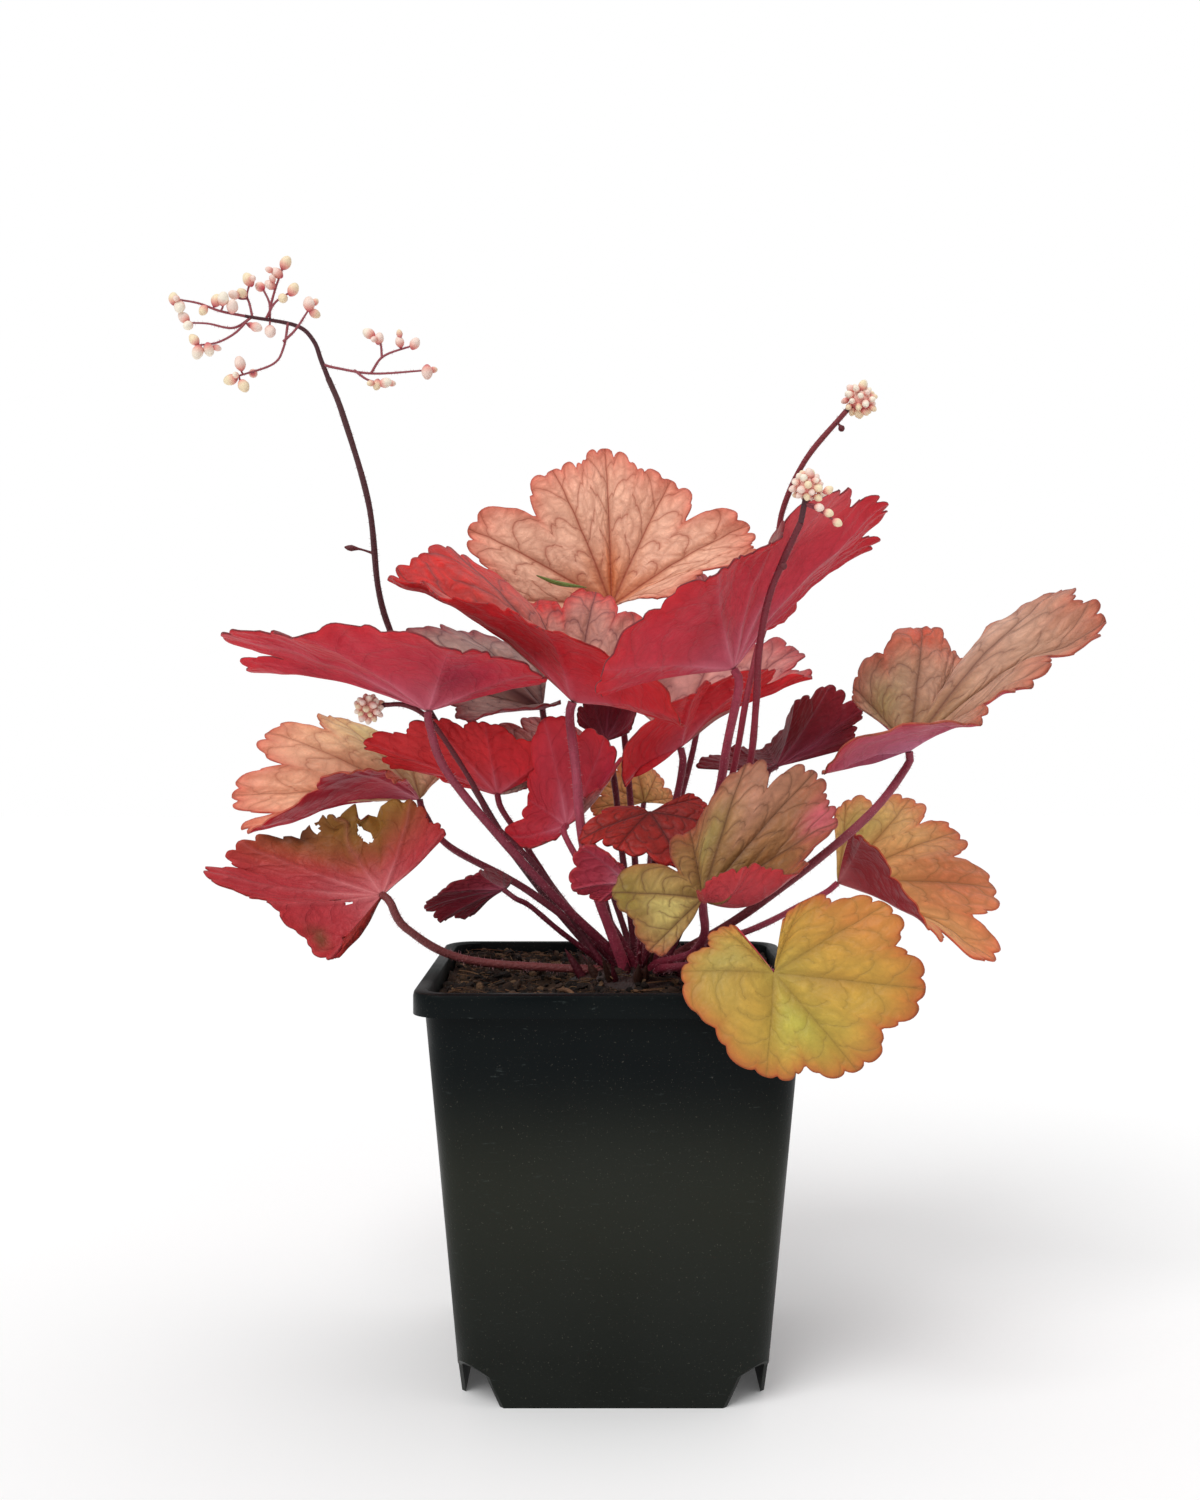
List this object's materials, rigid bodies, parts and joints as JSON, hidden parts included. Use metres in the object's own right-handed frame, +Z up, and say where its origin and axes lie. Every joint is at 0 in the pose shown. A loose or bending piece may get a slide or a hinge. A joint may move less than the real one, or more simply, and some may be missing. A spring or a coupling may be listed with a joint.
{
  "type": "potted heuchera plant",
  "caption": "Heuchera with lobed crimson, peach, olive and amber leaves and slender flower stalks, growing in a tapered square nursery pot.",
  "frame": {"origin": "on the ground under the middle of the whole plant's bounding box, 9.6 mm from the middle of the pot", "axes": "+Z up, the side that the plant shows to the viewer towards -Y, +X to the viewer's right"},
  "size_m": [0.2795, 0.1437, 0.3323],
  "materials": {
    "pot_plastic": "satin black polypropylene with pale haze",
    "peat": "dark fibrous peat",
    "stalk_maroon": "hairy maroon stalk",
    "blade_peach": "peach leaf with rose veins",
    "blade_crimson": "crimson underside, satin",
    "blade_dark": "dark maroon leaf",
    "blade_olive": "olive to beige leaf with red margin",
    "blade_amber": "amber leaf with orange margin",
    "blade_brick": "brick red leaf",
    "blade_grey_pink": "grey-pink leaf with purple veins",
    "flower_stalk": "dark purple-brown stalk",
    "buds": "cream buds with pink bases",
    "dead_stalk": "dry brown stalk",
    "pebble": "cream pebble"
  },
  "bodies": {
    "root": {"pot": "pot_plastic", "soil": "peat", "crown_and_leaf_stalks": "stalk_maroon", "leaf_back_amber": "blade_amber", "leaf_back_left": "blade_grey_pink", "leaf_back_pink": "blade_grey_pink", "leaf_centre_cup": "blade_crimson", "leaf_centre_dark": "blade_dark", "leaf_centre_red": "blade_crimson", "leaf_far_right_olive": "blade_olive", "leaf_front_brick": "blade_brick", "leaf_front_olive": "blade_olive", "leaf_left_crimson": "blade_crimson", "leaf_left_grey": "blade_grey_pink", "leaf_left_peach": "blade_peach", "leaf_left_red": "blade_crimson", "leaf_lower_left_withered": "blade_crimson", "leaf_lower_right_amber": "blade_amber", "leaf_over_rim_yellow": "blade_amber", "leaf_right_crimson": "blade_crimson", "leaf_right_dark": "blade_dark", "leaf_small_maroon": "blade_dark", "leaf_small_pink": "blade_crimson", "leaf_top_peach": "blade_peach", "leaf_upper_left_funnel": "blade_crimson", "flower_stalk_tall": "flower_stalk", "flower_stalk_low": "flower_stalk", "flower_stalk_right": "flower_stalk", "flower_stalk_front": "flower_stalk", "flower_spray_tall": "buds", "flower_head_low": "buds", "flower_head_right": "buds", "flower_head_front": "buds", "dead_stalk_front": "dead_stalk", "dead_stalk_side": "dead_stalk", "pebble": "pebble"}
  },
  "joints": []
}
